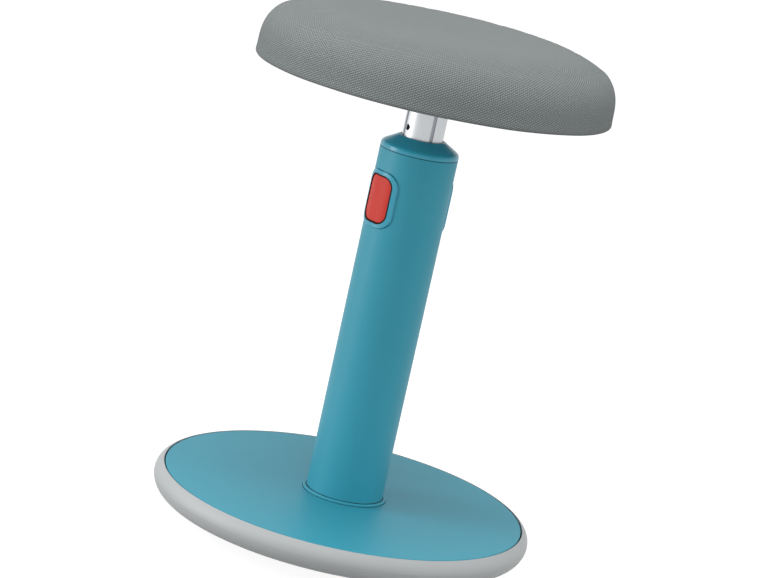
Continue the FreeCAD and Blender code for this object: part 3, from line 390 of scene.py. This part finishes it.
finishes = {
    "teal_paint": teal_paint,
    "teal_plastic": lambda: satin("teal_plastic", teal_cap_lit, 0.29, 1100.0, 0.008 * mm, 0.02),
    "red_plastic": lambda: satin("red_plastic", coral_red, 0.45, 1400.0, 0.008 * mm, 0.03,
                                 Specular_IOR_Level=0.3),
    "grey_rubber": grey_sole,
    "black_rubber": lambda: satin("black_rubber", dark_rubber, 0.8, 900.0, 0.02 * mm, 0.12,
                                  Specular_IOR_Level=0.2),
    "cast_weight": lambda: cast("cast_weight", (66, 66, 69), 0.6, 0.4),
    "black_plastic": lambda: satin("black_plastic", (40, 40, 42), 0.5, 1300.0, 0.02 * mm, 0.08),
    "white_acetal": lambda: satin("white_acetal", (232, 231, 222), 0.32, 700.0, 0.004 * mm, 0.02),
    "zinc_steel": zinc,
    "black_steel": lambda: turned_metal("black_steel", blackened, 0.42),
    "polished_aluminium": grooved_tube,
    "cast_aluminium": lambda: cast("cast_aluminium", (190, 191, 193), 0.42, 1.0),
    "black_paint": lambda: satin("black_paint", blackened, 0.4, 500.0, 0.01 * mm, 0.06),
    "bright_chrome": lambda: turned_metal("bright_chrome", (222, 223, 226), 0.1, 2200.0, 0.001 * mm),
    "grey_knit": knit,
    "seat_foam": foam,
}


def dress_frame():
    """Gives every piece of the frame the finish of its slot."""
    made = {name: build() for name, build in finishes.items()}
    for part in frame["record"]["subparts"]:
        mesh = frame["nodes"][part["node"]].data
        mesh.materials.clear()
        mesh.materials.append(made[part["material_slot"]])
    return made


def arc_points(centre, radius, from_deg, to_deg, step):
    """Points along an arc in the (radius, height) plane, without the first."""
    count = max(2, round(abs(math.radians(to_deg - from_deg)) * radius / step))
    points = []
    for k in range(1, count + 1):
        a = math.radians(from_deg + (to_deg - from_deg) * k / count)
        points.append((centre[0] + radius * math.cos(a), centre[1] + radius * math.sin(a)))
    return points


def line_points(start, end, step):
    """Points along a line in the (radius, height) plane, without the first."""
    length = math.dist(start, end)
    count = max(1, round(length / step))
    return [(start[0] + (end[0] - start[0]) * k / count, start[1] + (end[1] - start[1]) * k / count)
            for k in range(1, count + 1)]


def crown_points(inner_r, foot_z, step):
    """Points up the cushion's crown, from the side wall to the top, without the first."""
    count = crown_fineness * round((crown_width + crown_rise) / step)
    fine = []
    for k in range(count + 1):
        t = math.pi / 2 * k / count
        fine.append((inner_r + crown_width * math.cos(t) ** (2 / crown_power),
                     foot_z + crown_rise * math.sin(t) ** (2 / crown_power)))
    points, run = [], 0.0
    for a, b in zip(fine, fine[1:]):
        run += math.dist(a, b)
        if run >= step:
            points.append(b)
            run = 0.0
    points[-1] = fine[-1]
    return points


def cushion_outline():
    """The cushion's outer skin from the hem's inner edge to the axis, in (radius, height)."""
    low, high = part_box("seat_cover")
    r, z = high.x, low.z
    c = seat_bottom_round
    foot_z = high.z - crown_rise
    top_r = r - crown_width
    hem = (r - fabric_turn_in, z)
    skin = [hem] + line_points(hem, (r - c, z), edge_step)
    skin += arc_points((r - c, z + c), c, -90, 0, edge_step)
    skin += line_points((r, z + c), (r, foot_z), cushion_step)
    skin += crown_points(top_r, foot_z, cushion_step)
    half, drop = top_r / 2, seat_dish / 2
    radius = (half ** 2 + drop ** 2) / (2 * drop)
    swing = math.degrees(math.asin(half / radius))
    skin += arc_points((top_r, high.z - radius), radius, 90, 90 + swing, cushion_step)
    skin += arc_points((0, high.z - seat_dish + radius), radius, 270 + swing, 270, cushion_step)[:-1]
    return skin


def puff(cushion, skin_count):
    """Lets a coarse copy of the cushion swell as cloth under pressure, and moves the fine skin with it."""
    mesh = cushion.data
    proxy = link_piece("cushion_proxy", mesh.copy())
    remesh = proxy.modifiers.new("remesh", "REMESH")
    remesh.mode = "VOXEL"
    remesh.voxel_size = puff_voxel
    proxy.data = bpy.data.meshes.new_from_object(proxy.evaluated_get(bpy.context.evaluated_depsgraph_get()))
    proxy.modifiers.clear()
    rest = [vertex.co.copy() for vertex in proxy.data.vertices]
    low = min(point.z for point in rest)
    high = max(point.z for point in rest)
    held = proxy.vertex_groups.new(name="held")
    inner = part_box("seat_pan")[1].x + puff_voxel
    for k, point in enumerate(rest):
        by_hem = point.z < low + puff_voxel
        by_pan = math.hypot(point.x, point.y) < inner and point.z < high - 2 * puff_voxel
        if by_hem or by_pan:
            held.add([k], 1.0, "REPLACE")
    cloth = proxy.modifiers.new("cloth", "CLOTH")
    cloth.settings.quality = puff_quality
    cloth.settings.mass = puff_mass
    cloth.settings.use_pressure = True
    cloth.settings.uniform_pressure_force = puff_pressure
    cloth.settings.vertex_group_mass = "held"
    cloth.settings.effector_weights.gravity = 0.0
    scene = bpy.context.scene
    for step in range(1, puff_frames + 1):
        scene.frame_set(step)
    swollen = proxy.evaluated_get(bpy.context.evaluated_depsgraph_get()).data
    tree = kdtree.KDTree(len(rest))
    moves = []
    for k, (before, vertex) in enumerate(zip(rest, swollen.vertices)):
        move = vertex.co - before
        if move.length > puff_cap:
            move *= puff_cap / move.length
        moves.append(move)
        tree.insert(before, k)
    tree.balance()
    for vertex in list(mesh.vertices)[:skin_count]:
        total, weight = Vector(), 0.0
        for _, k, away in tree.find_n(vertex.co, puff_neighbours):
            share = 1 / (away + puff_blur) ** 2
            total += moves[k] * share
            weight += share
        vertex.co += total / weight
    scene.frame_set(1)
    spent = proxy.data
    bpy.data.objects.remove(proxy)
    bpy.data.meshes.remove(spent)


def make_cushion():
    """Foam and knitted cover as one crowned closed form, hollow where the pan sits."""
    skin = cushion_outline()
    pan_low, pan_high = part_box("seat_pan")
    inner_r = pan_high.x + pan_gap
    hem_r, hem_z = skin[0]
    lining = [(hem_r, hem_z + fabric_thickness), (inner_r, hem_z + fabric_thickness),
              (inner_r, pan_high.z + pan_gap)]
    total = sum(math.dist(a, b) for a, b in zip(skin, skin[1:])) + skin[-1][0]
    form = bmesh.new()
    knit_layer = form.verts.layers.float_vector.new("knit_place")
    rings = []
    run = 0.0
    before = skin[0]
    for r, z in skin:
        run += math.dist(before, (r, z))
        before = (r, z)
        far = total - run
        ring = round_row(form, r, z, cushion_sides)
        for k, vertex in enumerate(ring):
            a = 2 * math.pi * k / cushion_sides
            if z < hem_z + seat_bottom_round / 2:
                vertex.co.z += gather(r, a, hem_r)
            vertex[knit_layer] = Vector((far * math.cos(a), far * math.sin(a), 0))
        rings.append(ring)
    centre = form.verts.new(Vector((0, 0, skin[-1][1])))
    inner = [round_row(form, r, z, cushion_sides) for r, z in lining]
    inner_centre = form.verts.new(Vector((0, 0, lining[-1][1])))
    bridge(form, rings)
    bridge(form, inner[::-1])
    bridge(form, [inner[0], rings[0]])
    close(form, rings[-1], centre)
    close(form, inner[-1][::-1], inner_centre)
    swell(form, rings)
    cushion = form_piece("knit_cushion", form, smooth=True)
    puff(cushion, len(rings) * cushion_sides + 1)
    return cushion


def gather(r, a, hem_r):
    """How far the gathered cover lifts under the seat, at a radius and an angle."""
    width = fabric_turn_in - seat_bottom_round
    fade = max(0.0, 1 - (r - hem_r) / width)
    wave = 0.5 + 0.5 * math.cos(gather_count * a + gather_drift * math.sin(gather_drift_waves * a))
    return gather_depth * fade * wave


def swell(form, rings):
    """Moves the skin in and out a little, as foam under a taut cover does."""
    form.normal_update()
    hem_z = rings[0][0].co.z
    for ring in rings:
        for vertex in ring:
            lift = swell_size * noise.noise(vertex.co / swell_pitch)
            above = min(1.0, max(0.0, (vertex.co.z - hem_z - seat_bottom_round) / crown_rise))
            lift -= puff_start * above ** 0.5
            vertex.co += vertex.normal * lift


def round_row(form, r, z, sides):
    """A ring of new vertices about the column's axis."""
    turns = [2 * math.pi * k / sides for k in range(sides)]
    return [form.verts.new(Vector((r * math.cos(a), r * math.sin(a), z))) for a in turns]


def bridge(form, rings):
    """Quads between each ring of vertices and the next."""
    for low, high in zip(rings, rings[1:]):
        count = len(low)
        for k in range(count):
            n = (k + 1) % count
            form.faces.new((low[k], low[n], high[n], high[k]))


def close(form, ring, centre):
    """Triangles from a ring to its centre."""
    count = len(ring)
    for k in range(count):
        form.faces.new((ring[k], ring[(k + 1) % count], centre))


def link_piece(name, mesh):
    """A new object in the scene with this mesh."""
    piece = bpy.data.objects.new(name, mesh)
    bpy.context.scene.collection.objects.link(piece)
    return piece


def form_piece(name, form, smooth=False):
    """A new object in the scene from a finished form, with its faces turned outward."""
    bmesh.ops.recalc_face_normals(form, faces=form.faces)
    mesh = bpy.data.meshes.new(name)
    form.to_mesh(mesh)
    form.free()
    if smooth:
        mesh.shade_smooth()
    return link_piece(name, mesh)


def dress_cushion(made):
    """The knitted cushion, in place of the solid foam and cover."""
    cushion = make_cushion()
    cushion.data.materials.append(made["grey_knit"])
    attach(cushion, "seat_lift")
    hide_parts("seat_cover", "seat_foam")


def corner_loop(half_width, half_height, corner):
    """Points round a rounded rectangle, in (sideways, upward)."""
    points = []
    for quarter, (sx, sy) in enumerate(((1, 1), (-1, 1), (-1, -1), (1, -1))):
        for k in range(lip_corner_steps + 1):
            a = math.pi / 2 * (quarter + k / lip_corner_steps)
            points.append((sx * (half_width - corner) + corner * math.cos(a),
                           sy * (half_height - corner) + corner * math.sin(a)))
    loop = []
    for here, after in zip(points, points[1:] + points[:1]):
        steps = lip_side_steps if math.dist(here, after) > corner / 2 else 1
        for k in range(steps):
            t = k / steps
            loop.append((here[0] + (after[0] - here[0]) * t, here[1] + (after[1] - here[1]) * t))
    return loop


def make_button_shade_lip(name, side):
    """Black rubber lip that fills the gap between a button and its bezel, as a painted shade line; side is
    -1 or 1.
    """
    bezel_low, bezel_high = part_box("bezel_right")
    face = bezel_high.x - lip_sink
    middle_z = (bezel_low.z + bezel_high.z) / 2
    form = bmesh.new()
    loops = []
    outer = lip_clearance + lip_width
    profile = ((lip_clearance, lip_depth), (lip_clearance, lip_round), (lip_clearance + lip_round, 0.0),
               (outer + lip_overlap - lip_round, 0.0), (outer + lip_overlap, lip_round),
               (outer + lip_overlap, lip_lap_depth), (outer, lip_lap_depth), (outer, lip_depth))
    for grow, sink in profile:
        loop = []
        for y, z in corner_loop(button_half_width + grow, button_half_height + grow, button_corner + grow):
            x = math.sqrt((face - sink) ** 2 - y ** 2)
            loop.append(form.verts.new(Vector((side * x, side * y, middle_z + z))))
        loops.append(loop)
    bridge(form, loops + [loops[0]])
    return form_piece(name, form, smooth=True)


def make_shade_seal(name, edge_r, edge_z, section):
    """A closed ring of this section along a round edge."""
    form = bmesh.new()
    loops = [round_row(form, edge_r + out, edge_z + up, shade_seal_sides) for out, up in section]
    bridge(form, loops + [loops[0]])
    return form_piece(name, form)


def dress_seam_shade(made):
    """Dark rubber seals as painted shade lines: in the seam under the cap and on both sides of the trim
    ring.
    """
    tube_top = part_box("column_tube")[1]
    collar_low, collar_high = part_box("column_collar")
    shade_rings = (
        ("cap_shade_seal", tube_top.x, tube_top.z, cap_shade_seal_section),
        ("collar_inner_shade_seal", tube_top.x, collar_high.z, inner_shade_seal_section),
        ("collar_outer_shade_seal", collar_high.x, collar_low.z, outer_shade_seal_section),
    )
    for name, edge_r, edge_z, section in shade_rings:
        shade_ring = make_shade_seal(name, edge_r, edge_z, section)
        shade_ring.data.materials.append(made["black_rubber"])
        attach(shade_ring, "base")


def dress_spring(made):
    """The return spring's own coil: a copy of its mesh, fixed to the base, in place of the spring."""
    coil = link_piece("return_coil", frame["nodes"]["return_spring"].data.copy())
    coil.data.materials.clear()
    coil.data.materials.append(made["zinc_steel"])
    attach(coil, "base")
    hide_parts("return_spring")
    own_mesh(coil)


def dress_button_shade_lips(made):
    """A black rubber lip round each button, as a painted shade line."""
    for name, side in (("button_shade_lip_left", -1), ("button_shade_lip_right", 1)):
        shade_lip = make_button_shade_lip(name, side)
        shade_lip.data.materials.append(made["black_rubber"])
        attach(shade_lip, "base")


def seen_directly(tree):
    """1 for what the camera, a mirror or glass sees, 0 for light that falls on the object."""
    path = tree.nodes.new("ShaderNodeLightPath")
    total = path.outputs["Is Camera Ray"]
    for name in ("Is Glossy Ray", "Is Transmission Ray"):
        add = tree.nodes.new("ShaderNodeMath")
        add.operation = "MAXIMUM"
        tree.links.new(total, add.inputs[0])
        tree.links.new(path.outputs[name], add.inputs[1])
        total = add.outputs[0]
    return total


def make_world():
    """White where it is seen, a plain even light where it falls."""
    world = bpy.data.worlds.new("studio")
    bpy.context.scene.world = world
    world.use_nodes = True
    tree = world.node_tree
    level = tree.nodes.new("ShaderNodeMapRange")
    tree.links.new(seen_directly(tree), level.inputs["Value"])
    level.inputs["To Min"].default_value = ambient_level
    level.inputs["To Max"].default_value = 1.0
    light = tree.nodes["Background"]
    light.inputs["Color"].default_value = (1, 1, 1, 1)
    tree.links.new(level.outputs[0], light.inputs["Strength"])


def make_floor():
    """Pale floor that keeps the stool's shadow."""
    form = bmesh.new()
    bmesh.ops.create_grid(form, x_segments=1, y_segments=1, size=floor_size / 2)
    mesh = bpy.data.meshes.new("floor")
    form.to_mesh(mesh)
    form.free()
    floor = link_piece("floor", mesh)
    material = bpy.data.materials.new("pale_floor")
    material.use_nodes = True
    tree = material.node_tree
    tree.nodes.remove(tree.nodes["Principled BSDF"])
    pale = tree.nodes.new("ShaderNodeBsdfDiffuse")
    pale.inputs["Color"].default_value = (floor_bounce, floor_bounce, floor_bounce, 1)
    shade = tree.nodes.new("ShaderNodeBsdfDiffuse")
    shade.inputs["Color"].default_value = (floor_shade, floor_shade, floor_shade, 1)
    glow = tree.nodes.new("ShaderNodeEmission")
    glow.inputs["Strength"].default_value = floor_glow
    seen = tree.nodes.new("ShaderNodeAddShader")
    tree.links.new(shade.outputs[0], seen.inputs[0])
    tree.links.new(glow.outputs[0], seen.inputs[1])
    mix = tree.nodes.new("ShaderNodeMixShader")
    tree.links.new(seen_directly(tree), mix.inputs["Fac"])
    tree.links.new(pale.outputs[0], mix.inputs[1])
    tree.links.new(seen.outputs[0], mix.inputs[2])
    tree.links.new(mix.outputs[0], tree.nodes["Material Output"].inputs["Surface"])
    mesh.materials.append(material)


def softbox(name, azimuth_deg, elevation_deg, distance, width, height, power, mirrored=False):
    """A soft rectangular lamp that faces the middle of the stool. Mirrored: glossy surfaces show it."""
    lamp = bpy.data.lights.new(name, "AREA")
    lamp.shape = "RECTANGLE"
    lamp.size, lamp.size_y, lamp.energy = width, height, power
    box = bpy.data.objects.new(name, lamp)
    bpy.context.scene.collection.objects.link(box)
    a, e = math.radians(azimuth_deg), math.radians(elevation_deg)
    place = Vector((math.cos(a) * math.cos(e), math.sin(a) * math.cos(e), math.sin(e))) * distance + lamp_aim
    box.location = place
    box.rotation_euler = (lamp_aim - place).to_track_quat("-Z", "Y").to_euler()
    box.visible_camera = False
    box.visible_glossy = mirrored


def make_lights():
    """Four soft lamps. Only the left one shows as a highlight."""
    softbox("left_softbox", azimuth_deg=152.0, elevation_deg=8.0, distance=2.2, width=0.8, height=1.8,
            power=30.5, mirrored=True)
    softbox("front_softbox", azimuth_deg=236.0, elevation_deg=15.0, distance=3.0, width=1.8, height=1.2,
            power=24.0)
    softbox("right_softbox", azimuth_deg=316.0, elevation_deg=8.0, distance=2.4, width=0.9, height=1.8,
            power=14.0)
    softbox("top_softbox", azimuth_deg=215.0, elevation_deg=78.0, distance=2.4, width=1.6, height=1.6,
            power=40.0)


def make_camera():
    """The camera of the reference view."""
    lens = bpy.data.cameras.new("camera")
    lens.lens = camera_lens_mm
    lens.sensor_fit = "HORIZONTAL"
    lens.sensor_width = camera_sensor_mm
    camera = bpy.data.objects.new("camera", lens)
    bpy.context.scene.collection.objects.link(camera)
    facing = (camera_aim - camera_place).to_track_quat("-Z", "Y").to_matrix().to_4x4()
    roll = Matrix.Rotation(math.radians(camera_roll_deg), 4, "Z")
    camera.matrix_world = Matrix.Translation(camera_place) @ facing @ roll
    bpy.context.scene.camera = camera


made = dress_frame()
dress_cushion(made)
dress_button_shade_lips(made)
dress_seam_shade(made)
dress_spring(made)
make_world()
make_floor()
make_lights()
make_camera()
bpy.context.scene.view_settings.view_transform = "Standard"
